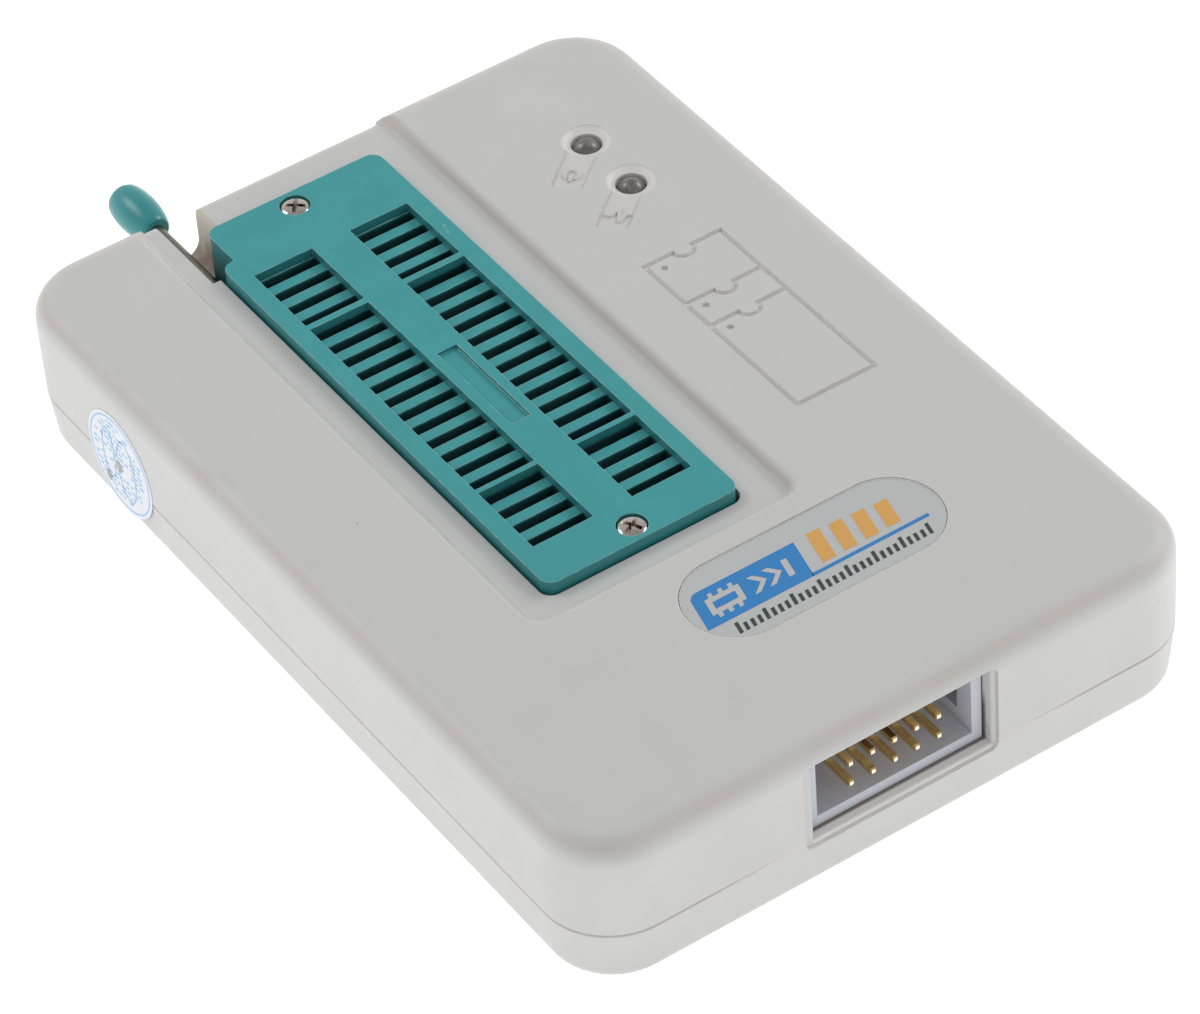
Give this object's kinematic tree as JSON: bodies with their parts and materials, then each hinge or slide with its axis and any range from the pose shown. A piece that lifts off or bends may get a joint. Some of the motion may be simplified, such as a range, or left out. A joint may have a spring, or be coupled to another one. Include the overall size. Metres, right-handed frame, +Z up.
{
  "type": "usb microcontroller programmer",
  "caption": "Flat two-shell programmer with a lever-operated zero-insertion-force chip socket, a boxed pin header on the front, indicator lights and a rear USB port.",
  "frame": {"origin": "centre of the flat underside of the lower shell", "axes": "+Z up, +Y towards the end with the lever knob, +X to the right when seen from the header end"},
  "size_m": [0.0717, 0.1136, 0.018],
  "materials": {
    "case": "light warm grey moulded plastic, fine matte texture",
    "socket_plastic": "teal glass-filled moulding, satin",
    "header_plastic": "pale lilac-grey moulding, satin",
    "contact_gold": "gold plated",
    "screw_steel": "nickel plated",
    "lever_steel": "bright drawn wire",
    "port_steel": "tin plated sheet",
    "tinned_lead": "tinned",
    "can_metal": "satin",
    "coil_copper": "enamelled copper",
    "board": "green solder mask",
    "black_plastic": "moulded black",
    "badge": "printed film under clear gloss",
    "led_lens": "smoked diffusing lens, unlit",
    "sticker": "printed paper"
  },
  "bodies": {
    "programmer": {"upper_shell": "case", "lower_shell": "case", "case_screws": "screw_steel", "main_board": "board", "zif_base": "socket_plastic", "zif_cover": "socket_plastic", "zif_contacts": "tinned_lead", "zif_cover_screws": "screw_steel", "header_shroud": "header_plastic", "header_pins": "contact_gold", "badge_plate": "badge", "power_led": "led_lens", "status_led": "led_lens", "led_leads": "tinned_lead", "usb_shell": "port_steel", "usb_insulator": "black_plastic", "usb_contacts": "contact_gold", "controller_chip": "black_plastic", "controller_leads": "tinned_lead", "driver_chips": "black_plastic", "driver_leads": "tinned_lead", "crystal": "can_metal", "inductor_core": "black_plastic", "inductor_coil": "coil_copper", "capacitor_cans": "can_metal", "capacitor_bases": "black_plastic", "regulator": "black_plastic", "chip_resistors": "black_plastic", "seal_sticker": "sticker"},
    "lever": {"zif_lever": "lever_steel", "lever_knob": "socket_plastic"},
    "comb": {"zif_comb": "socket_plastic"}
  },
  "joints": [
    {"name": "lever_hinge", "type": "hinge", "parent": "programmer", "child": "lever", "pos_m": [-0.0062, 0.0414, 0.0126], "axis": [1, 0, 0], "range_deg": [0, 90]},
    {"name": "comb_slide", "type": "slide", "parent": "programmer", "child": "comb", "axis": [0, -1, 0], "range_m": [0, 0.0012]}
  ],
  "couplings": [
    {"joint": "lever_hinge", "follows": "comb_slide", "rad_per_m": 1309}
  ]
}
